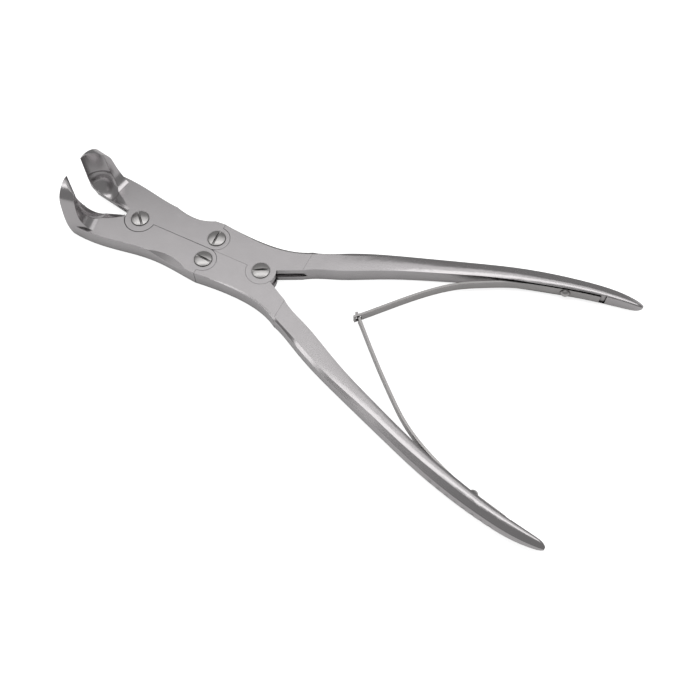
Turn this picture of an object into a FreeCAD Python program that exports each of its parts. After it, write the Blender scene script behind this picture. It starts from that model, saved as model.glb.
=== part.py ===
import FreeCAD, Part
import math
import os

V = FreeCAD.Vector
UP = V(0, 0, 1)

# Double-action bone cutting forceps, lying flat, jaws towards -X, handles towards +X.
# The origin is on the handle pivot's axis, on the underside. Lengths are in millimetres.
# The right-hand side is +Y. The left levers are the mirror image of the right ones.

# Thickness of the levers and of the layers of their lap joints
THICK = 8.0
TONGUE_THICK = 2.6
LAYER_GAP = 0.05
SLOT_THICK = TONGUE_THICK + 2 * LAYER_GAP
SLOT_LOW = (THICK - SLOT_THICK) / 2
SLOT_HIGH = SLOT_LOW + SLOT_THICK
MID = THICK / 2

# Places of the four pivots
LINK_AHEAD = 25.35
LINK_SIDE = 5.89
JAW_AHEAD_OF_LINK = 35.87
HANDLE_PIVOT = V(0, 0, 0)
LINK_PIVOT = V(-LINK_AHEAD, LINK_SIDE, 0)
JAW_PIVOT = V(-LINK_AHEAD - JAW_AHEAD_OF_LINK, 0, 0)

# Lap joints: half gap on the midline, radii of the cheeks and tongues, running gaps
MIDLINE_GAP = 0.05
LINK_CHEEK_R = LINK_SIDE - MIDLINE_GAP
HANDLE_CHEEK_R = 6.65
JAW_CHEEK_R = 6.9
LINK_TONGUE_R = 5.1
HANDLE_TONGUE_R = 5.9
JAW_TONGUE_R = 6.1
RECESS_GAP = 0.12
JAW_RECESS_GAP = 0.16
SHOULDER_GAP = 0.06

# Opening of each jaw at rest and turn of a jaw against its handle when it closes
JAW_OPENING = 9.9
LINK_TURN = 24.3
TOE_MARGIN = 1.5

# Pivot screws
SHANK_R = 2.4
SHANK_CLEARANCE = 0.03
OPEN_PIVOT_CLEARANCE = 0.1
HEAD_R = 3.85
HEAD_RECESS = 0.8
HEAD_RIM = 0.35
HEAD_DOME = 0.75
HEAD_CLEARANCE = 0.05
SCREW_SLOT_WIDTH = 0.9
SCREW_SLOT_DEPTH = 0.8

# Jaws: outer edge of the shank, and blade height, reach and hollow
JAW_WAIST_HALF_WIDTH = 12.6
JAW_SHOULDER_HALF_WIDTH = 14.2
JAW_FRONT_HALF_WIDTH = 15.2
BLADE_HEIGHT = 28.0
BLADE_REACH = 29.9
BLADE_BACK = 12.0
BLADE_DEPTH = 6.9
BLADE_ROOT = 17.5
BLADE_HEEL = 5.0
BLADE_HOLLOW_R = 9.2
BLADE_HOLLOW_OFFSET = 1.2
BLADE_HOLLOW_FLOOR = 5.2
BLADE_EDGE_LAND = 0.3
JAW_UNDERCUT = 1.9
CLOSING_GAP = 0.1
SCALLOP_R = 25.0
SCALLOP_X = -41.0
SCALLOP_WIDTH = 1.7
SCALLOP_DROP = 2.8
JAW_SLOT_R = 10.0
JAW_SLOT_BITE = 1.2
JAW_SLOT_X = -12.8
JAW_FACET_LENGTH = 12.5
JAW_FACET_WIDTH = 2.3
JAW_FACET_TILT = 12.0

# Handles: each station gives the section of the bar, from the inner to the outer side
GRIP_START = 16.0
HANDLE_STATIONS = (
    # x, inner edge, crease, shoulder, outer ridge, half heights at inner edge, crown, crease, shoulder
    (GRIP_START, 8.2, 17.4, 18.5, 18.6, 3.92, 3.94, 3.92, 3.55),
    (30.0, 15.0, 23.6, 25.1, 25.4, 3.85, 3.94, 3.85, 3.3),
    (42.0, 21.0, 29.1, 30.6, 31.0, 3.75, 3.95, 3.75, 3.2),
    (54.0, 26.9, 33.6, 35.3, 35.7, 3.65, 3.95, 3.7, 3.0),
    (70.0, 33.6, 38.8, 41.2, 41.7, 3.55, 3.95, 3.7, 2.9),
    (85.0, 39.6, 44.2, 46.7, 47.3, 3.5, 3.95, 3.7, 2.8),
    (100.0, 44.9, 48.9, 51.8, 52.5, 3.4, 3.9, 3.7, 2.7),
    (115.0, 49.2, 52.9, 55.8, 56.7, 3.3, 3.85, 3.6, 2.5),
    (130.0, 53.0, 56.1, 58.7, 59.7, 3.1, 3.6, 3.4, 2.3),
    (142.0, 55.2, 57.6, 60.0, 60.9, 2.8, 3.2, 3.0, 2.0),
    (149.5, 56.3, 58.1, 59.8, 60.5, 2.3, 2.6, 2.4, 1.5),
    (152.9, 57.1, 58.3, 59.3, 59.8, 1.5, 1.7, 1.5, 0.9),
    (154.1, 57.9, 58.4, 58.9, 59.1, 0.7, 0.8, 0.7, 0.4),
)
CROWN_SHARE = 0.6
HEAD_STATIONS = (
    # x, crease, outer wall and drop of the facet between them
    (-LINK_AHEAD - 1.0, 14.1, 14.2, 0.05),
    (-15.0, 12.9, 13.2, 0.1),
    (-4.0, 12.5, 13.2, 0.25),
    (7.0, 14.0, 14.8, 0.35),
    (GRIP_START, 17.4, 18.6, 0.45),
)
HEAD_SLOT_R = 26.0
HEAD_SLOT_BITE = 1.6
HEAD_SLOT_X = 10.5
GROOVE_START = 104.0
GROOVE_PITCH = 4.0
GROOVE_COUNT = 8
GROOVE_R = 1.3
GROOVE_DEPTH = 0.4

# Leaf springs: each path runs from the handle to the hook, in the side's own mirrored frame
LEAF_THICK = 1.1
LEAF_WIDTH = 4.6
LEAF_CLEARANCE = 0.12
LEAF_SCREW_X = 121.5
LEAF_END_X = 136.0
HOOK_X = 46.9
RIGHT_LEAF_PATH = ((104.0, 46.1), (97.0, 43.2), (88.6, 38.8), (80.0, 33.8), (71.2, 26.7), (61.0, 16.1))
LEFT_LEAF_PATH = ((104.0, 45.5), (96.2, 42.0), (84.5, 35.0), (75.5, 27.5), (66.4, 19.2))
HOOK_OVERRUN = 2.1
TONGUE_OVERRUN = 2.4
TONGUE_WIDTH = 2.0
WINDOW_MARGIN = 0.3
CHANNEL_DEPTH = 0.9
CHANNEL_MARGIN = 0.7
CHANNEL_START = 90.0
CHANNEL_RUNOUT = 8.0
CHANNEL_END = 138.5
SPRING_SCREW_HEAD_R = 2.1
SPRING_SCREW_HEAD_HEIGHT = 1.6
SPRING_SCREW_SHANK_R = 1.0
SPRING_SCREW_DEPTH = 4.0


def turned(x, y, centre, degrees):
    """Point (x, y) given from a centre, turned about it, in the part's frame."""
    a = math.radians(degrees)
    return V(centre.x + x * math.cos(a) - y * math.sin(a),
             centre.y + x * math.sin(a) + y * math.cos(a), 0)


def opened(x, y):
    """Point of the right jaw, given from the jaw pivot with the jaws closed, at rest."""
    return turned(x, y, JAW_PIVOT, -JAW_OPENING)


def disc(centre, radius, low, high):
    return Part.makeCylinder(radius, high - low, V(centre.x, centre.y, low), UP)


def line(a, b):
    return Part.LineSegment(a, b).toShape()


def curve(points):
    spline = Part.BSplineCurve()
    spline.interpolate(points)
    return spline.toShape()


def slab(edges, low, high):
    """Plate between two heights inside a closed chain of edges in the XY plane."""
    wire = Part.Wire(Part.__sortEdges__(edges))
    face = Part.Face(wire)
    face.translate(V(0, 0, low))
    return face.extrude(V(0, 0, high - low))


def polygon_slab(points, low, high):
    edges = [line(a, b) for a, b in zip(points, points[1:] + points[:1])]
    return slab(edges, low, high)


def one_solid(shape):
    """The largest solid of a shape, with merged faces."""
    clean = shape.removeSplitter()
    return max(clean.Solids, key=lambda s: s.Volume)


def mirrored(shape):
    return shape.mirror(V(0, 0, 0), V(0, 1, 0))


def fork(blank, centre, cheek_r, tongue_r, gap):
    """Blank with a slot between two round cheeks that stand over the mating lever."""
    slot = disc(centre, tongue_r + gap, SLOT_LOW, SLOT_HIGH)
    cheeks = [disc(centre, cheek_r, 0, SLOT_LOW), disc(centre, cheek_r, SLOT_HIGH, THICK)]
    return blank.cut(slot).fuse(cheeks)


def tongue(blank, centre, cheek_r, tongue_r, gap):
    """Blank with round recesses for two cheeks and a round tongue between them."""
    low = SLOT_LOW + LAYER_GAP
    high = SLOT_HIGH - LAYER_GAP
    recesses = [disc(centre, cheek_r + gap, -1, low), disc(centre, cheek_r + gap, high, THICK + 1)]
    return blank.cut(recesses).fuse(disc(centre, tongue_r, low, high))


def bored(shape, centre, radius):
    return shape.cut(disc(centre, radius, -1, THICK + 1))


def head_seat(shape, centre):
    seat = disc(centre, HEAD_R + HEAD_CLEARANCE, THICK - HEAD_RECESS, THICK + 1)
    return shape.cut(seat)


def jaw_blank():
    """Right jaw without its joints: shank plate with the blade standing on its front."""
    back_x = -LINK_AHEAD - SHOULDER_GAP
    outer = [
        V(back_x, JAW_SHOULDER_HALF_WIDTH, 0),
        V(-37.0, 13.1, 0),
        V(-44.5, JAW_WAIST_HALF_WIDTH, 0),
        V(-55.0, 13.2, 0),
        V(-67.0, JAW_FRONT_HALF_WIDTH, 0),
        opened(-19.0, BLADE_BACK + 1.3),
        opened(-BLADE_REACH, BLADE_BACK - 1.2),
    ]
    back_inner = V(back_x, MIDLINE_GAP, 0)
    pivot_back = V(JAW_PIVOT.x, MIDLINE_GAP, 0)
    pivot_front = opened(0, CLOSING_GAP)
    front_inner = opened(-BLADE_REACH, CLOSING_GAP)
    edges = [
        curve(outer),
        line(outer[-1], front_inner),
        line(front_inner, pivot_front),
        line(pivot_front, pivot_back),
        line(pivot_back, back_inner),
        line(back_inner, outer[0]),
    ]
    return slab(edges, 0, THICK)


def blade():
    """Blade in the jaw's closed frame, measured from the jaw pivot, before it is hollowed."""
    across = [
        V(0, BLADE_BACK - 1.2, 0),
        V(0, BLADE_BACK, 9),
        V(0, BLADE_BACK - 0.8, 19),
        V(0, BLADE_BACK - 2.6, BLADE_HEIGHT - 3),
        V(0, BLADE_BACK - 6.0, BLADE_HEIGHT - 0.3),
        V(0, CLOSING_GAP, BLADE_HEIGHT),
    ]
    low = V(0, CLOSING_GAP, 0)
    section = Part.Face(Part.Wire([curve(across), line(across[-1], low), line(low, across[0])]))
    section.translate(V(-BLADE_REACH, 0, 0))
    length = BLADE_REACH - BLADE_ROOT + BLADE_HEEL
    body = section.extrude(V(length, 0, 0))
    front = -BLADE_REACH
    rear = front + BLADE_DEPTH
    root = V(-BLADE_ROOT, 0, THICK)
    heel = V(-BLADE_ROOT + BLADE_HEEL, 0, THICK)
    back = [V(rear - 1.8, 0, BLADE_HEIGHT + 1), V(rear, 0, 24), V(rear + 0.3, 0, 16), V(rear + 2.4, 0, 10.5), root]
    side = [
        line(V(front, 0, 0), V(front, 0, BLADE_HEIGHT + 1)),
        line(V(front, 0, BLADE_HEIGHT + 1), back[0]),
        curve(back),
        line(root, heel),
        line(heel, V(heel.x, 0, 0)),
        line(V(heel.x, 0, 0), V(front, 0, 0)),
    ]
    profile = Part.Face(Part.Wire(side))
    profile.translate(V(0, -1, 0))
    return body.common(profile.extrude(V(0, 20, 0)))


def blade_hollow():
    """Round hollow behind the cutting edge, open to the top and to the closing plane."""
    x = -BLADE_REACH + BLADE_EDGE_LAND + math.sqrt(BLADE_HOLLOW_R ** 2 - BLADE_HOLLOW_OFFSET ** 2)
    centre = V(x, -BLADE_HOLLOW_OFFSET, BLADE_HOLLOW_FLOOR + BLADE_HOLLOW_R)
    bowl = Part.makeSphere(BLADE_HOLLOW_R, centre)
    return bowl.fuse(Part.makeCylinder(BLADE_HOLLOW_R, BLADE_HEIGHT, centre, UP))


def jaw_undercut():
    """Wedge that slopes the inner wall back below the top edge, in front of the pivot."""
    front = -BLADE_REACH - 1
    back = -JAW_CHEEK_R - 1.6
    wedge = [V(front, -1, 0), V(front, JAW_UNDERCUT, 0), V(front, CLOSING_GAP, THICK), V(front, -1, THICK)]
    edges = [line(a, b) for a, b in zip(wedge, wedge[1:] + wedge[:1])]
    return Part.Face(Part.Wire(edges)).extrude(V(back - front, 0, 0))


def in_rest_place(shape):
    """Move a shape from the jaw's closed frame to its place at rest."""
    shape.rotate(V(0, 0, 0), UP, -JAW_OPENING)
    shape.translate(JAW_PIVOT)
    return shape


def jaw_scallop():
    """Shallow relief ground across the top outer edge between the two pivots of the jaw."""
    slant = math.hypot(SCALLOP_WIDTH, SCALLOP_DROP)
    along = V(0, SCALLOP_WIDTH, -SCALLOP_DROP) / slant
    out = V(0, SCALLOP_DROP, SCALLOP_WIDTH) / slant
    middle = V(SCALLOP_X, JAW_WAIST_HALF_WIDTH - SCALLOP_WIDTH / 2, THICK - SCALLOP_DROP / 2)
    start = middle + out * SCALLOP_R - along * (2 * THICK)
    return Part.makeCylinder(SCALLOP_R, 4 * THICK, start, along)


def jaw_facet():
    """Facet on the jaw's top inner edge, widening from the pivot to the blade."""
    turn = math.degrees(math.atan2(JAW_FACET_WIDTH, JAW_FACET_LENGTH))
    box = Part.makeBox(1.6 * JAW_FACET_LENGTH, 2 * THICK, THICK, V(-1.6 * JAW_FACET_LENGTH, -2 * THICK, 0))
    box.rotate(V(0, 0, 0), V(1, 0, 0), JAW_FACET_TILT)
    box.rotate(V(0, 0, 0), UP, -turn)
    box.translate(V(-JAW_CHEEK_R - 0.5, (JAW_CHEEK_R + 0.5) * JAW_FACET_WIDTH / JAW_FACET_LENGTH, THICK))
    return box


def jaw_slot():
    """Cutter's run-out in the middle layer of the right jaw's inner wall."""
    wall = JAW_UNDERCUT / 2
    centre = V(JAW_SLOT_X, wall + JAW_SLOT_BITE - JAW_SLOT_R, 0)
    return disc(centre, JAW_SLOT_R, SLOT_LOW, SLOT_HIGH)


def right_side_jaw():
    """Jaw with blade and link fork, shared by both sides before the jaw pivot is cut."""
    blank = jaw_blank().fuse(in_rest_place(blade()))
    blank = blank.cut([in_rest_place(blade_hollow()), in_rest_place(jaw_undercut())])
    blank = blank.cut([in_rest_place(jaw_facet()), jaw_scallop()])
    blank = fork(blank, LINK_PIVOT, LINK_CHEEK_R, LINK_TONGUE_R, RECESS_GAP)
    blank = bored(blank, LINK_PIVOT, SHANK_R + SHANK_CLEARANCE)
    return head_seat(blank, LINK_PIVOT)


def right_jaw():
    jaw = right_side_jaw().cut(in_rest_place(jaw_slot()))
    jaw = fork(jaw, JAW_PIVOT, JAW_CHEEK_R, JAW_TONGUE_R, JAW_RECESS_GAP)
    jaw = bored(jaw, JAW_PIVOT, SHANK_R + SHANK_CLEARANCE)
    return one_solid(head_seat(jaw, JAW_PIVOT))


def left_jaw():
    jaw = mirrored(right_side_jaw())
    jaw = tongue(jaw, JAW_PIVOT, JAW_CHEEK_R, JAW_TONGUE_R, JAW_RECESS_GAP)
    return one_solid(bored(jaw, JAW_PIVOT, SHANK_R + OPEN_PIVOT_CLEARANCE))


def handle_section(station):
    """Closed section of the bar across X: flat inner face, crowned faces, facets and outer wall."""
    x, inner, crease, shoulder, outer, inner_half, crown_half, crease_half, shoulder_half = station
    crown = inner + CROWN_SHARE * (crease - inner)
    top = [V(x, inner, MID + inner_half), V(x, crease, MID + crease_half), V(x, shoulder, MID + shoulder_half)]
    low = [V(p.x, p.y, THICK - p.z) for p in top]
    ridge = V(x, outer, MID)
    return Part.Wire([
        line(low[0], top[0]),
        Part.Arc(top[0], V(x, crown, MID + crown_half), top[1]).toShape(),
        line(top[1], top[2]),
        line(top[2], ridge),
        line(ridge, low[2]),
        line(low[2], low[1]),
        Part.Arc(low[1], V(x, crown, MID - crown_half), low[0]).toShape(),
    ])


def head_edges():
    """Body whose outer side has the facets of the head, growing towards the grip."""
    sections = []
    for x, crease, outer, drop in HEAD_STATIONS:
        corners = [
            V(x, -THICK, 0), V(x, crease, 0), V(x, outer, drop),
            V(x, outer, THICK - drop), V(x, crease, THICK), V(x, -THICK, THICK),
        ]
        sections.append(Part.makePolygon(corners + corners[:1]))
    return Part.makeLoft(sections, True, False)


def handle_head():
    """Flat head of the right handle, from the link shoulder to the start of the grip."""
    front_x = -LINK_AHEAD + SHOULDER_GAP
    start = HANDLE_STATIONS[0]
    plan = polygon_slab([
        V(front_x, MIDLINE_GAP, 0),
        V(0, MIDLINE_GAP, 0),
        V(start[0], start[1], 0),
        V(start[0], 2 * start[4], 0),
        V(front_x, 2 * start[4], 0),
    ], 0, THICK)
    return plan.common(head_edges()).cut(toe_relief())


def head_slot():
    """Cutter's run-out in the middle layer of the right handle's inner wall."""
    start = HANDLE_STATIONS[0]
    way = V(start[0], start[1], 0).normalize()
    wall = V(HEAD_SLOT_X, HEAD_SLOT_X * way.y / way.x, 0)
    inward = V(way.y, -way.x, 0)
    return disc(wall + inward * (HEAD_SLOT_R - HEAD_SLOT_BITE), HEAD_SLOT_R, SLOT_LOW, SLOT_HIGH)


def toe_relief():
    """Corner of the handle that the jaw's straight back sweeps as the tool closes."""
    sweep = LINK_TURN + TOE_MARGIN
    reach = LINK_CHEEK_R + RECESS_GAP
    touch = turned(0, -reach, LINK_PIVOT, sweep)
    far = touch + turned(-12, 0, V(0, 0, 0), sweep)
    outside = V(far.x, LINK_PIVOT.y, 0)
    return polygon_slab([LINK_PIVOT, touch, far, outside], -1, THICK + 1)


def grip_grooves():
    """Row of shallow upright grooves in the outer wall of the grip."""
    grooves = []
    for i in range(GROOVE_COUNT):
        x = GROOVE_START + i * GROOVE_PITCH
        centre = V(x, station_value(x, 4) + GROOVE_R - GROOVE_DEPTH, 0)
        grooves.append(disc(centre, GROOVE_R, -1, THICK + 1))
    return grooves


def leaf_channel():
    """Channel in the grip's inner face that seats the root of the leaf."""
    floor = [V(CHANNEL_START - CHANNEL_RUNOUT, inner_edge(CHANNEL_START - CHANNEL_RUNOUT) - 0.1, 0)]
    for share in (0, 0.25, 0.5, 0.75, 1):
        x = CHANNEL_START + share * (CHANNEL_END - CHANNEL_START)
        floor.append(V(x, inner_edge(x) + CHANNEL_DEPTH, 0))
    back = [V(p.x, p.y - 3 * CHANNEL_DEPTH, 0) for p in reversed(floor)]
    half = LEAF_WIDTH / 2 + CHANNEL_MARGIN
    return polygon_slab(floor + back, MID - half, MID + half)


def right_side_handle():
    """Handle with link tongue, shared by both sides before the handle pivot is cut."""
    sections = [handle_section(s) for s in HANDLE_STATIONS]
    bar = Part.makeLoft(sections, True, False)
    handle = handle_head().fuse(bar)
    handle = tongue(handle, LINK_PIVOT, LINK_CHEEK_R, LINK_TONGUE_R, RECESS_GAP)
    handle = bored(handle, LINK_PIVOT, SHANK_R + SHANK_CLEARANCE)
    return handle.cut([leaf_channel(), spring_screw_hole()] + grip_grooves())


def right_handle():
    handle = right_side_handle().cut(head_slot())
    handle = fork(handle, HANDLE_PIVOT, HANDLE_CHEEK_R, HANDLE_TONGUE_R, RECESS_GAP)
    handle = bored(handle, HANDLE_PIVOT, SHANK_R + SHANK_CLEARANCE)
    return one_solid(head_seat(handle, HANDLE_PIVOT))


def left_handle():
    handle = mirrored(right_side_handle())
    handle = tongue(handle, HANDLE_PIVOT, HANDLE_CHEEK_R, HANDLE_TONGUE_R, RECESS_GAP)
    return one_solid(bored(handle, HANDLE_PIVOT, SHANK_R + SHANK_CLEARANCE))


def pivot_screw(centre, slot_degrees):
    """Domed slotted screw whose shank ends flush with the underside."""
    seat = THICK - HEAD_RECESS
    rim = THICK + HEAD_RIM
    crown = rim + HEAD_DOME
    edges = [
        line(V(0, 0, 0), V(SHANK_R, 0, 0)),
        line(V(SHANK_R, 0, 0), V(SHANK_R, 0, seat)),
        line(V(SHANK_R, 0, seat), V(HEAD_R, 0, seat)),
        line(V(HEAD_R, 0, seat), V(HEAD_R, 0, rim)),
        Part.Arc(V(HEAD_R, 0, rim), V(HEAD_R * 0.55, 0, rim + HEAD_DOME * 0.72), V(0, 0, crown)).toShape(),
        line(V(0, 0, crown), V(0, 0, 0)),
    ]
    screw = Part.Face(Part.Wire(edges)).revolve(V(0, 0, 0), UP, 360)
    slot = Part.makeBox(2.4 * HEAD_R, SCREW_SLOT_WIDTH, SCREW_SLOT_DEPTH + 1,
                        V(-1.2 * HEAD_R, -SCREW_SLOT_WIDTH / 2, crown - SCREW_SLOT_DEPTH))
    slot.rotate(V(0, 0, 0), UP, slot_degrees)
    screw = Part.makeSolid(screw.Shells[0]) if not screw.Solids else screw.Solids[0]
    screw = screw.cut(slot)
    screw.translate(V(centre.x, centre.y, 0))
    return one_solid(screw)


def station_value(x, column):
    """Value of one column of the handle's stations at a place between two of them."""
    for a, b in zip(HANDLE_STATIONS, HANDLE_STATIONS[1:]):
        if a[0] <= x <= b[0]:
            share = (x - a[0]) / (b[0] - a[0])
            return a[column] + share * (b[column] - a[column])
    return HANDLE_STATIONS[-1][column]


def inner_edge(x):
    return station_value(x, 1)


def offset_path(points, distance):
    """Points moved sideways by a distance, to the left of the way that they run."""
    moved = []
    for i, p in enumerate(points):
        a = points[max(i - 1, 0)]
        b = points[min(i + 1, len(points) - 1)]
        way = (b - a).normalize()
        moved.append(p + V(-way.y, way.x, 0) * distance)
    return moved


def leaf_path(free_part):
    """Centre line of a leaf, from its root in the channel to the crossing on the midline."""
    seat = CHANNEL_DEPTH - LEAF_CLEARANCE - LEAF_THICK / 2
    rest = CHANNEL_START + (LEAF_SCREW_X - CHANNEL_START) * 0.7
    root = [V(x, inner_edge(x) + seat, 0) for x in (LEAF_END_X, LEAF_SCREW_X, rest)]
    return root + [V(x, y, 0) for x, y in free_part] + [V(HOOK_X, 0, 0)]


def hook_way(free_part):
    """Direction in which a leaf arrives at the crossing."""
    path = leaf_path(free_part)
    return (path[-1] - path[-2]).normalize()


def leaf_blank(free_part, overrun):
    """Leaf on the right-hand side as a bent strip of even thickness, standing on edge."""
    path = leaf_path(free_part)
    path = path[:-1] + [path[-1] + hook_way(free_part) * overrun]
    one = offset_path(path, LEAF_THICK / 2)
    two = offset_path(path, -LEAF_THICK / 2)
    edges = [curve(one), line(one[-1], two[-1]), curve(two), line(two[0], one[0])]
    low = MID - LEAF_WIDTH / 2
    return slab(edges, low, low + LEAF_WIDTH).cut(leaf_hole())


def spring_screw_axis():
    """Place on the handle's inner face and direction into the handle of its screw."""
    reach = 3 * SPRING_SCREW_SHANK_R
    rise = inner_edge(LEAF_SCREW_X + reach) - inner_edge(LEAF_SCREW_X - reach)
    way = V(-rise, 2 * reach, 0).normalize()
    return V(LEAF_SCREW_X, inner_edge(LEAF_SCREW_X), MID), way


def spring_screw_hole():
    face, way = spring_screw_axis()
    return Part.makeCylinder(SPRING_SCREW_SHANK_R + SHANK_CLEARANCE, SPRING_SCREW_DEPTH + 0.5, face, way)


def right_spring_screw():
    """Round-headed screw that holds the leaf's root in its channel."""
    face, way = spring_screw_axis()
    seat = face + way * (CHANNEL_DEPTH - 2 * LEAF_CLEARANCE - LEAF_THICK)
    shank = Part.makeCylinder(SPRING_SCREW_SHANK_R, SPRING_SCREW_DEPTH, seat, way)
    ball_r = (SPRING_SCREW_HEAD_R ** 2 + SPRING_SCREW_HEAD_HEIGHT ** 2) / (2 * SPRING_SCREW_HEAD_HEIGHT)
    ball = Part.makeSphere(ball_r, seat + way * (ball_r - SPRING_SCREW_HEAD_HEIGHT))
    keep = Part.makeCylinder(2 * ball_r, 2 * SPRING_SCREW_HEAD_HEIGHT, seat, way * -1)
    return one_solid(shank.fuse(ball.common(keep)))


def leaf_hole():
    face, way = spring_screw_axis()
    return Part.makeCylinder(SPRING_SCREW_SHANK_R + SHANK_CLEARANCE, 2 * LEAF_WIDTH, face - way * LEAF_WIDTH, way)


def hook_window():
    """Window near the right leaf's end that takes the left leaf's tongue."""
    way = hook_way(RIGHT_LEAF_PATH)
    half = TONGUE_WIDTH / 2 + WINDOW_MARGIN
    reach = LEAF_THICK * 1.2
    box = Part.makeBox(2 * reach, 6 * LEAF_THICK, 2 * half, V(-reach, -3 * LEAF_THICK, MID - half))
    box.rotate(V(0, 0, 0), UP, math.degrees(math.atan2(way.y, way.x)))
    box.translate(V(HOOK_X, 0, 0))
    return box


def right_leaf_spring():
    return one_solid(leaf_blank(RIGHT_LEAF_PATH, HOOK_OVERRUN).cut(hook_window()))


def left_leaf_spring():
    """Left leaf, whose end is narrowed to a tongue that passes through the window."""
    way = hook_way(LEFT_LEAF_PATH)
    shoulder = V(HOOK_X, 0, 0) - way * (LEAF_THICK * 1.1)
    trims = []
    for low, high in ((MID + TONGUE_WIDTH / 2, THICK), (0, MID - TONGUE_WIDTH / 2)):
        box = Part.makeBox(8 * LEAF_THICK, 8 * LEAF_THICK, high - low, V(0, -4 * LEAF_THICK, low))
        box.rotate(V(0, 0, 0), UP, math.degrees(math.atan2(way.y, way.x)))
        box.translate(shoulder)
        trims.append(box)
    return one_solid(mirrored(leaf_blank(LEFT_LEAF_PATH, TONGUE_OVERRUN).cut(trims)))


def save(name, shape):
    shape.exportStep("parts/" + name + ".step")


def main():
    os.makedirs("parts", exist_ok=True)
    save("right_jaw", right_jaw())
    save("left_jaw", left_jaw())
    save("right_handle", right_handle())
    save("left_handle", left_handle())
    save("jaw_pivot_screw", pivot_screw(JAW_PIVOT, -45))
    save("right_link_screw", pivot_screw(LINK_PIVOT, 92))
    left_link = V(LINK_PIVOT.x, -LINK_PIVOT.y, 0)
    save("left_link_screw", pivot_screw(left_link, -2))
    save("handle_pivot_screw", pivot_screw(HANDLE_PIVOT, 29))
    save("right_leaf_spring", right_leaf_spring())
    save("left_leaf_spring", left_leaf_spring())
    save("right_spring_screw", right_spring_screw())
    save("left_spring_screw", one_solid(mirrored(right_spring_screw())))


main()
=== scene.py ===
"""Studio view of double-action bone cutting forceps: softened steel, leaf springs, light and camera."""

import logging
import math
from dataclasses import dataclass, field, replace
from enum import Enum

import bpy
from mathutils import Matrix, Vector


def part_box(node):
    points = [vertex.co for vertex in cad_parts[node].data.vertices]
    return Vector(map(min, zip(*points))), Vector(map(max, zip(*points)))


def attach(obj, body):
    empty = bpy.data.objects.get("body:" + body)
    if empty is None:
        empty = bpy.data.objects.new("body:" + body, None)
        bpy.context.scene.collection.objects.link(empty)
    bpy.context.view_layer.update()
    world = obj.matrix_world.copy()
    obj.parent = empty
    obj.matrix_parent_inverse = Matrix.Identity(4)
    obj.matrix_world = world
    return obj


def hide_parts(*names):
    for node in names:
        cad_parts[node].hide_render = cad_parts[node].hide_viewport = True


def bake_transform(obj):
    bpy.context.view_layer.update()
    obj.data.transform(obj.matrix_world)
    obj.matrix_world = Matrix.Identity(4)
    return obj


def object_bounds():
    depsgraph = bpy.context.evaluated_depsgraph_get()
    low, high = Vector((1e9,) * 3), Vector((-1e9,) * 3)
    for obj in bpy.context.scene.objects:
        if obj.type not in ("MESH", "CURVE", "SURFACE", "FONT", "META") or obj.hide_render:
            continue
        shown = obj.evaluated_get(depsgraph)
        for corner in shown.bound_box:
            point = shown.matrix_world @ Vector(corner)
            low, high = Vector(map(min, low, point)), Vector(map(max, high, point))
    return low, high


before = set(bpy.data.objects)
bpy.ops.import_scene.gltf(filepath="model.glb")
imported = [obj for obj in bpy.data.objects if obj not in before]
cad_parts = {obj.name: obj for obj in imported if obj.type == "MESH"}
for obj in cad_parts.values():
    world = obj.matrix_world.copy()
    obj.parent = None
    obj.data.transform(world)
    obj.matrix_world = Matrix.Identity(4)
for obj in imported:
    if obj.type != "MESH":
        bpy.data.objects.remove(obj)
CAD_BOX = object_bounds()

LOG = logging.getLogger("forceps")
MM = 0.001

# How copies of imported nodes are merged, rounded and shaded: lengths in millimetres, angles in degrees.
WELD_MM = 0.002
FLAT_BELOW = 0.01
SMOOTH_BELOW = 35.0
NORMAL_REACH_MM = 0.004
EDGE_SEGMENTS = 2

# Sockets of a Mix node that mixes colours, whose names its number sockets also have.
MIX_FROM, MIX_TO, MIX_RESULT = 6, 7, 2


class Side(Enum):
    """Side of the tool, by the sign of Y."""

    RIGHT = 1
    LEFT = -1

    @property
    def word(self) -> str:
        """Name of the side as the node names have it."""
        return self.name.lower()


def linear(hex_colour: str) -> tuple[float, float, float, float]:
    """Turn an sRGB hex colour into the linear colour that a shader takes.

    Args:
        hex_colour: Six hexadecimal digits after a hash.

    Returns:
        Linear red, green, blue and an alpha of 1.
    """
    parts = [int(hex_colour[i:i + 2], 16) / 255 for i in (1, 3, 5)]
    red, green, blue = (c / 12.92 if c <= 0.04045 else ((c + 0.055) / 1.055) ** 2.4 for c in parts)
    return red, green, blue, 1.0


def add_node(tree: bpy.types.NodeTree, kind: str, inputs: dict | None = None, **settings) -> bpy.types.Node:
    """Add one node with its settings, socket values and links.

    Args:
        tree: Node tree that the node goes into.
        kind: Type name of the node.
        inputs: Socket name or number to a value, or to an output socket to link from.
        **settings: Properties of the node.

    Returns:
        The new node.
    """
    node = tree.nodes.new(kind)
    for name, value in settings.items():
        setattr(node, name, value)
    for key, value in (inputs or {}).items():
        if isinstance(value, bpy.types.NodeSocket):
            tree.links.new(value, node.inputs[key])
        else:
            node.inputs[key].default_value = value
    return node


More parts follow.
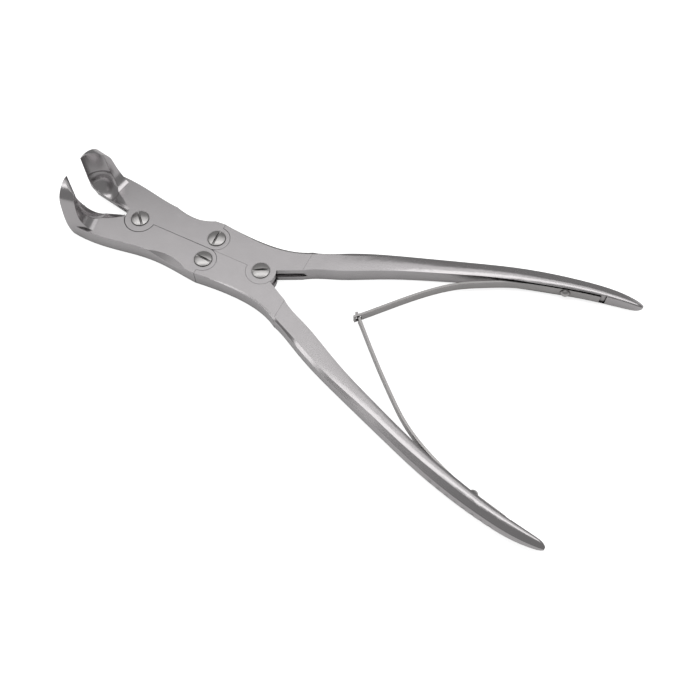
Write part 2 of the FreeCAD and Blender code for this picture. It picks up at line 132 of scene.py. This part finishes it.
@dataclass(frozen=True)
class Steel:
    """Stainless steel, bare and ground or polished.

    Ground steel shows as a mid grey whose fine scratches run one way and spread each reflection.
    """

    name: str
    colour: str
    dark: str
    roughness: float
    roughness_change: float
    grain_width_mm: float
    grain_length_mm: float
    grain_height_mm: float
    grain_turn: float = 0.0
    cloud_mm: float = 8.0
    cloud_detail: float = 2.0
    grain_detail: float = 3.0
    grain_mix: float = 0.6
    grain_range: tuple[float, float] = (0.3, 0.7)
    grain_strength: float = 0.5
    # Painted shade in the gaps between parts, in creases and near the floor: how far it reaches, its dark colour,
    # the occlusion range it darkens over and its samples.
    seam_shade_mm: float = 1.0
    seam_shade_colour: str = "#3a3838"
    seam_shade_range: tuple[float, float] = (0.5, 0.92)
    seam_shade_samples: int = 6

    def material(self) -> bpy.types.Material:
        """Build the material with its grain, cloudy tone, change of gloss and painted shade that darkens seams,
        creases and edges near the floor.

        Returns:
            The new material.
        """
        made = bpy.data.materials.new(self.name)
        made.use_nodes = True
        tree = made.node_tree
        tree.nodes.clear()
        place = add_node(tree, "ShaderNodeTexCoord")
        scale = (1 / (self.grain_length_mm * MM), 1 / (self.grain_width_mm * MM), 1 / (self.grain_width_mm * MM))
        turned = add_node(tree, "ShaderNodeMapping",
                          {"Vector": place.outputs["Object"], "Rotation": (0, 0, math.radians(-self.grain_turn))})
        along = add_node(tree, "ShaderNodeMapping", {"Vector": turned.outputs["Vector"], "Scale": scale})
        grain = add_node(tree, "ShaderNodeTexNoise",
                         {"Vector": along.outputs["Vector"], "Scale": 1.0,
                          "Detail": self.grain_detail, "Roughness": self.grain_mix})
        cloud = add_node(tree, "ShaderNodeTexNoise",
                         {"Vector": place.outputs["Object"], "Scale": 1 / (self.cloud_mm * MM),
                          "Detail": self.cloud_detail})
        tone = add_node(tree, "ShaderNodeMix",
                        {"Factor": cloud.outputs["Fac"], MIX_FROM: linear(self.dark), MIX_TO: linear(self.colour)},
                        data_type="RGBA")
        gloss = add_node(tree, "ShaderNodeMapRange",
                         {"Value": grain.outputs["Fac"],
                          "From Min": self.grain_range[0], "From Max": self.grain_range[1],
                          "To Min": self.roughness - self.roughness_change,
                          "To Max": self.roughness + self.roughness_change})
        bump = add_node(tree, "ShaderNodeBump",
                        {"Height": grain.outputs["Fac"], "Strength": self.grain_strength,
                         "Distance": self.grain_height_mm * MM})
        # Painted shade: the base colour darkens towards a dark grey where ambient occlusion finds the surface shut
        # in, so in the gaps between parts, in creases and along edges near the floor.
        near = add_node(tree, "ShaderNodeAmbientOcclusion", {"Distance": self.seam_shade_mm * MM},
                        samples=self.seam_shade_samples)
        unshaded_share = add_node(tree, "ShaderNodeMapRange",
                              {"Value": near.outputs["AO"],
                               "From Min": self.seam_shade_range[0], "From Max": self.seam_shade_range[1]})
        seam_shaded = add_node(tree, "ShaderNodeMix",
                           {"Factor": unshaded_share.outputs["Result"], MIX_FROM: linear(self.seam_shade_colour),
                            MIX_TO: tone.outputs[MIX_RESULT]}, data_type="RGBA")
        shader = add_node(tree, "ShaderNodeBsdfPrincipled",
                          {"Base Color": seam_shaded.outputs[MIX_RESULT], "Metallic": 1.0,
                           "Roughness": gloss.outputs["Result"], "Normal": bump.outputs["Normal"]})
        add_node(tree, "ShaderNodeOutputMaterial", {"Surface": shader.outputs["BSDF"]})
        return made


# Stainless instrument steel, belt-ground: broad soft reflections, drawn out along each lever by
# its scratches, which are drawn coarser than real ones so that they show.
SATIN_STEEL = Steel("satin_ground_steel", "#c1bebf", "#b9b6b7", 0.23, 0.03, 0.25, 6.0, 0.006)

# The same steel, turned and buffed all round: a domed head shows a bright spot and a dark rim.
POLISHED_STEEL = Steel("polished_steel", "#c2c0bf", "#b8b6b5", 0.30, 0.03, 0.3, 0.6, 0.004)

# Hardened strip, rolled and only wiped clean: a little darker and warmer than the levers.
SPRING_STEEL = Steel("tempered_spring_steel", "#b4b1b0", "#a8a6a5", 0.22, 0.04, 0.25, 4.0, 0.006)


@dataclass(frozen=True)
class SoftBox:
    """One level lamp in the ceiling, behind or over the tool as the camera sees it, in metres."""

    name: str
    near: float
    far: float
    width: float
    level: float


@dataclass
class Studio:
    """Pale floor, soft lamps, world and the camera of the picture."""

    image_px: int = 700
    focal_px: float = 950.0
    sensor_mm: float = 36.0
    azimuth: float = 26.36
    elevation: float = 63.09
    distance_mm: float = 402.07
    target_mm: tuple[float, float, float] = (49.8, -13.7, 0.0)
    floor_half_m: float = 3.0
    floor_colour: str = "#ffffff"
    floor_glow: float = 0.75
    mirrored_share: float = 0.12
    room_colour: str = "#ffffff"
    room_level: float = 0.28
    ceiling_m: float = 1.0
    floor_gap_mm: float = 0.05
    clip_m: tuple[float, float] = (0.01, 20.0)
    lamps: tuple[SoftBox, ...] = (
        SoftBox("top_panel", -0.05, 0.31, 1.8, 1.6),
        SoftBox("back_panel", 0.36, 0.8, 2.4, 0.72),
    )

    def camera(self) -> None:
        """Set the camera at the picture's angle and distance."""
        data = bpy.data.cameras.new("camera")
        data.sensor_width = self.sensor_mm
        data.lens = self.focal_px / self.image_px * self.sensor_mm
        data.clip_start, data.clip_end = self.clip_m
        eye = bpy.data.objects.new("camera", data)
        bpy.context.scene.collection.objects.link(eye)
        eye.location = self.place(self.azimuth, self.elevation, self.distance_mm * MM)
        eye.rotation_euler = (math.pi / 2 - math.radians(self.elevation), 0, math.radians(self.azimuth))
        bpy.context.scene.camera = eye

    def place(self, azimuth: float, elevation: float, distance: float) -> Vector:
        """Find a place round the tool.

        Args:
            azimuth: Degrees round the tool, 0 in front of it at -Y and 90 at +X.
            elevation: Degrees above the floor.
            distance: Metres from the target.

        Returns:
            The place in metres.
        """
        az, el = math.radians(azimuth), math.radians(elevation)
        way = Vector((math.cos(el) * math.sin(az), -math.cos(el) * math.cos(az), math.sin(el)))
        return Vector(self.target_mm) * MM + way * distance

    def seen_white(self, tree: bpy.types.NodeTree) -> bpy.types.NodeSocket:
        """Give the share of white that a ray meets: all of it from the camera, and a part in a reflection.

        Args:
            tree: Node tree of the floor's material or of the world.

        Returns:
            The share, from 0 to 1.
        """
        ray = add_node(tree, "ShaderNodeLightPath")
        mirrored = add_node(tree, "ShaderNodeMath",
                            {0: ray.outputs["Is Glossy Ray"], 1: ray.outputs["Is Transmission Ray"]},
                            operation="ADD")
        dimmed = add_node(tree, "ShaderNodeMath",
                          {0: mirrored.outputs["Value"], 1: self.mirrored_share}, operation="MULTIPLY")
        seen = add_node(tree, "ShaderNodeMath",
                        {0: ray.outputs["Is Camera Ray"], 1: dimmed.outputs["Value"]},
                        operation="ADD", use_clamp=True)
        return seen.outputs["Value"]

    def floor(self) -> None:
        """Lay the floor just under the tool: a white board that still takes the tool's soft shadow."""
        bpy.ops.object.select_all(action="DESELECT")
        under = CAD_BOX[0].z - self.floor_gap_mm * MM
        bpy.ops.mesh.primitive_plane_add(size=2 * self.floor_half_m, location=(0, 0, under))
        floor = bpy.context.object
        floor.name = "floor"
        made = bpy.data.materials.new("white_board")
        made.use_nodes = True
        tree = made.node_tree
        tree.nodes.clear()
        paint = add_node(tree, "ShaderNodeBsdfDiffuse", {"Color": linear(self.floor_colour)})
        level = add_node(tree, "ShaderNodeMath", {0: self.seen_white(tree), 1: self.floor_glow},
                         operation="MULTIPLY")
        glow = add_node(tree, "ShaderNodeEmission",
                        {"Color": linear(self.floor_colour), "Strength": level.outputs["Value"]})
        both = add_node(tree, "ShaderNodeAddShader", {0: paint.outputs["BSDF"], 1: glow.outputs["Emission"]})
        add_node(tree, "ShaderNodeOutputMaterial", {"Surface": both.outputs["Shader"]})
        floor.data.materials.append(made)

    def hang(self, box: SoftBox) -> None:
        """Hang one soft box level in the ceiling.

        Args:
            box: The lamp, whose level of 1 is white.
        """
        data = bpy.data.lights.new(box.name, "AREA")
        data.shape = "RECTANGLE"
        data.size, data.size_y = box.width, box.far - box.near
        data.energy = box.level * math.pi * data.size * data.size_y
        lamp = bpy.data.objects.new(box.name, data)
        bpy.context.scene.collection.objects.link(lamp)
        behind = self.place(self.azimuth + 180, 0, (box.near + box.far) / 2)
        lamp.location = (behind.x, behind.y, self.ceiling_m)
        lamp.rotation_euler = (0, 0, math.radians(self.azimuth))

    def world(self) -> None:
        """Surround the tool with an even grey room that the camera sees as white."""
        world = bpy.data.worlds.new("room")
        world.use_nodes = True
        tree = world.node_tree
        tree.nodes.clear()
        level = add_node(tree, "ShaderNodeMath", {0: self.seen_white(tree), 1: self.room_level},
                         operation="MAXIMUM")
        sky = add_node(tree, "ShaderNodeBackground",
                       {"Color": linear(self.room_colour), "Strength": level.outputs["Value"]})
        add_node(tree, "ShaderNodeOutputWorld", {"Surface": sky.outputs["Background"]})
        bpy.context.scene.world = world

    def build(self) -> None:
        """Build the whole studio."""
        bpy.context.scene.view_settings.view_transform = "Standard"
        self.camera()
        self.floor()
        self.world()
        for box in self.lamps:
            self.hang(box)


def select_only(piece: bpy.types.Object) -> None:
    """Select one piece alone and make it the active one.

    Args:
        piece: Piece to select.
    """
    bpy.ops.object.select_all(action="DESELECT")
    piece.select_set(True)
    bpy.context.view_layer.objects.active = piece


def merged_copy(node: str) -> bpy.types.Object:
    """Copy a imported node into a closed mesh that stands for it.

    Args:
        node: Name of the node.

    Returns:
        The copy, which rides on nothing yet.
    """
    piece = bpy.data.objects.new(node + "_finished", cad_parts[node].data.copy())
    bpy.context.scene.collection.objects.link(piece)
    select_only(piece)
    bpy.ops.object.mode_set(mode="EDIT")
    bpy.ops.mesh.select_all(action="SELECT")
    bpy.ops.mesh.remove_doubles(threshold=WELD_MM * MM)
    bpy.ops.mesh.dissolve_limited(angle_limit=math.radians(FLAT_BELOW))
    bpy.ops.mesh.normals_make_consistent(inside=False)
    bpy.ops.object.mode_set(mode="OBJECT")
    return piece


def round_edges(piece: bpy.types.Object, node: str, edge_mm: float, crease: float) -> None:
    """Round a piece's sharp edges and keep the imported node's smooth shading between them.

    Args:
        piece: Merged copy of the node.
        node: Name of the node.
        edge_mm: Width of the rounding in millimetres.
        crease: Smallest angle in degrees at which an edge is rounded.
    """
    select_only(piece)
    edges = piece.modifiers.new("rounded_edges", "BEVEL")
    edges.limit_method = "ANGLE"
    edges.angle_limit = math.radians(crease)
    edges.width = edge_mm * MM
    edges.segments = EDGE_SEGMENTS
    edges.use_clamp_overlap = False
    bpy.ops.object.modifier_apply(modifier=edges.name)
    bpy.ops.object.shade_smooth_by_angle(angle=math.radians(SMOOTH_BELOW))
    ground = piece.modifiers.new("ground_normals", "DATA_TRANSFER")
    ground.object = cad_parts[node]
    ground.use_loop_data = True
    ground.data_types_loops = {"CUSTOM_NORMAL"}
    ground.loop_mapping = "POLYINTERP_NEAREST"
    ground.use_max_distance = True
    ground.max_distance = NORMAL_REACH_MM * MM
    bpy.ops.object.modifier_apply(modifier=ground.name)
    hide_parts(node)
    LOG.info("rounded %s: %d faces", node, len(piece.data.polygons))


def dress(piece: bpy.types.Object, material: bpy.types.Material) -> None:
    """Give a piece its only material.

    Args:
        piece: Piece to dress.
        material: Material that takes every slot.
    """
    piece.data.materials.clear()
    piece.data.materials.append(material)


def dress_node(node: str, material: bpy.types.Material) -> None:
    """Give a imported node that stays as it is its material.

    Args:
        node: Name of the node.
        material: Material that takes every slot.
    """
    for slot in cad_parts[node].material_slots:
        slot.material = material
    LOG.info("dressed %s", node)


@dataclass
class BladeRelief:
    """Ground hollow behind each blade and its run-out along the jaw's inner edge.

    Places are given in the jaw's own frame, in millimetres from the jaw pivot, with the jaws closed.
    """

    opening: float = 9.9
    hollow_mm: tuple[float, float, float] = (-20.5, -1.2, 14.4)
    hollow_radius_mm: float = 9.35
    run_out_radius_mm: float = 9.1
    run_out_start_mm: float = 0.8
    run_out_rise: float = 12.3
    run_out_length_mm: float = 26.0
    bed_low_mm: tuple[float, float, float] = (-28.8, 0.15, 7.2)
    bed_high_mm: tuple[float, float, float] = (-21.0, 7.0, 14.3)
    facets: int = 144

    def to_rest(self, side: Side) -> Matrix:
        """Find the turn and place that bring a closed jaw's frame to rest.

        Args:
            side: Side of the tool.

        Returns:
            The matrix from the jaw's frame to the model's.
        """
        low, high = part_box("jaw_pivot_screw")
        pivot = Vector(((low[0] + high[0]) / 2, (low[1] + high[1]) / 2, 0))
        return Matrix.Translation(pivot) @ Matrix.Rotation(math.radians(-side.value * self.opening), 4, "Z")

    def bed(self, side: Side) -> bpy.types.Object:
        """Add the steel that the hollow is ground into, so that its floor has no step.

        Args:
            side: Side of the tool.

        Returns:
            The block.
        """
        low, high = Vector(self.bed_low_mm) * MM, Vector(self.bed_high_mm) * MM
        middle, size = (low + high) / 2, high - low
        bpy.ops.mesh.primitive_cube_add(size=1)
        block = bpy.context.object
        place = Matrix.Translation((middle.x, side.value * middle.y, middle.z))
        block.matrix_world = self.to_rest(side) @ place @ Matrix.Diagonal((*size, 1))
        return block

    def bowl(self, side: Side) -> bpy.types.Object:
        """Add the round end of the hollow as a ball.

        Args:
            side: Side of the tool.

        Returns:
            The ball.
        """
        x, y, z = self.hollow_mm
        bpy.ops.mesh.primitive_uv_sphere_add(segments=self.facets, ring_count=self.facets // 2,
                                             radius=self.hollow_radius_mm * MM)
        ball = bpy.context.object
        ball.matrix_world = self.to_rest(side) @ Matrix.Translation(Vector((x, side.value * y, z)) * MM)
        return ball

    def run_out(self, side: Side) -> bpy.types.Object:
        """Add the wheel's way out of the hollow as a round bar that rises towards the pivot.

        Args:
            side: Side of the tool.

        Returns:
            The bar.
        """
        x, y, z = self.hollow_mm
        bpy.ops.mesh.primitive_cylinder_add(vertices=self.facets, radius=self.run_out_radius_mm * MM,
                                            depth=self.run_out_length_mm * MM)
        bar = bpy.context.object
        place = Matrix.Translation(Vector((x, side.value * y, z)) * MM)
        aim = Matrix.Rotation(math.radians(90 - self.run_out_rise), 4, "Y")
        ahead = Matrix.Translation((0, 0, (self.run_out_start_mm + self.run_out_length_mm / 2) * MM))
        bar.matrix_world = self.to_rest(side) @ place @ aim @ ahead
        return bar

    def grind(self, piece: bpy.types.Object, side: Side) -> None:
        """Grind the hollow and its run-out into a jaw.

        Args:
            piece: Merged copy of the jaw.
            side: Side of the tool.
        """
        for make, operation in ((self.bed, "UNION"), (self.bowl, "DIFFERENCE"), (self.run_out, "DIFFERENCE")):
            bpy.ops.object.select_all(action="DESELECT")
            tool = make(side)
            select_only(piece)
            mark = piece.modifiers.new("ground", "BOOLEAN")
            mark.operation = operation
            mark.solver = "EXACT"
            mark.object = tool
            bpy.ops.object.modifier_apply(modifier=mark.name)
            bpy.data.objects.remove(tool)


@dataclass
class Levers:
    """Jaws and handles, ground along their length. The handles stay as they are packed."""

    edge_mm: float = 0.15
    crease: float = 14.0
    grip_turn: float = 18.0
    blade: BladeRelief = field(default_factory=BladeRelief)

    def build(self) -> None:
        """Grind, soften and dress each jaw and dress each handle."""
        for side in Side:
            jaw_steel = replace(SATIN_STEEL, name=f"satin_ground_steel_{side.word}_jaw").material()
            grip_steel = replace(SATIN_STEEL, name=f"satin_ground_steel_{side.word}_handle",
                                 grain_turn=side.value * self.grip_turn).material()
            node = f"{side.word}_jaw"
            jaw = merged_copy(node)
            self.blade.grind(jaw, side)
            round_edges(jaw, node, self.edge_mm, self.crease)
            dress(jaw, jaw_steel)
            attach(jaw, node + "_body")
            dress_node(f"{side.word}_handle", grip_steel)


@dataclass
class Screws:
    """Pivot screws and the small screws of the springs, polished."""

    edge_mm: float = 0.12
    crease: float = 30.0
    carriers: tuple[tuple[str, str], ...] = (
        ("jaw_pivot_screw", "right_jaw_body"),
        ("right_link_screw", "right_jaw_body"),
        ("left_link_screw", "left_jaw_body"),
        ("handle_pivot_screw", "right_handle_body"),
        ("right_spring_screw", "right_handle_body"),
        ("left_spring_screw", "left_handle_body"),
    )

    def build(self) -> None:
        """Soften and dress each screw."""
        steel = POLISHED_STEEL.material()
        for node, body in self.carriers:
            piece = merged_copy(node)
            round_edges(piece, node, self.edge_mm, self.crease)
            dress(piece, steel)
            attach(piece, body)


@dataclass
class LeafSprings:
    """The two leaf springs, seated in the handles and hooked into each other."""

    edge_mm: float = 0.12
    crease: float = 14.0
    bend_start_mm: tuple[float, float, float] = (100.0, 44.5, 4.0)
    bend_end_mm: tuple[float, float, float] = (76.0, 31.0, 4.0)

    def build(self) -> None:
        """Soften and dress each leaf."""
        steel = SPRING_STEEL.material()
        for side in Side:
            node = f"{side.word}_leaf_spring"
            piece = merged_copy(node)
            round_edges(piece, node, self.edge_mm, self.crease)
            dress(piece, steel)
            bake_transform(piece)


def main() -> None:
    """Build the studio and every group of pieces."""
    logging.basicConfig(level=logging.INFO, format="%(name)s: %(message)s")
    Studio().build()
    for group in (Levers(), Screws(), LeafSprings()):
        group.build()


if __name__ == "__main__":
    main()
